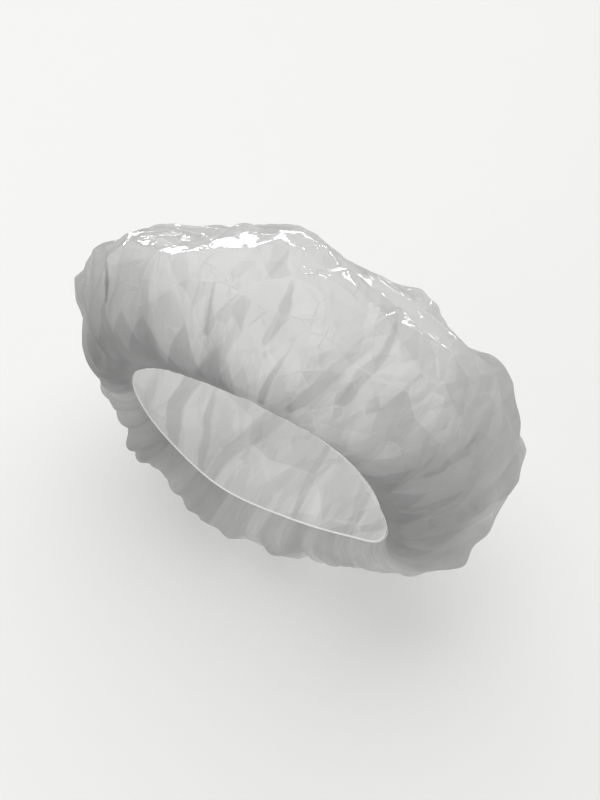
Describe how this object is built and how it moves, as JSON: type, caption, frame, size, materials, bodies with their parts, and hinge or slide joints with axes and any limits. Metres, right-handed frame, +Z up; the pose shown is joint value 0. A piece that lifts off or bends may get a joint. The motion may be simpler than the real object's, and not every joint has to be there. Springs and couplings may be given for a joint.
{
  "type": "waterproof hair cap",
  "caption": "Puffed cap of thin clear film, gathered by an elastic hem round its open mouth and lying on its side; worn over the hair to keep it dry.",
  "frame": {"origin": "on the floor, under the middle of the cap's box as it lies on its side", "axes": "+Z up from the floor; the mouth faces -Y and a little down, and the crown points to +Y; +X is to the right of someone who looks into the mouth"},
  "size_m": [0.255, 0.1296, 0.2439],
  "materials": {
    "clear_film": "thin cloudy polyethylene film, crinkled and glossy",
    "elastic": "white elastic thread in the film's welded edge"
  },
  "bodies": {
    "root": {"crown_film": "clear_film", "elastic_hem": "elastic"}
  },
  "joints": []
}
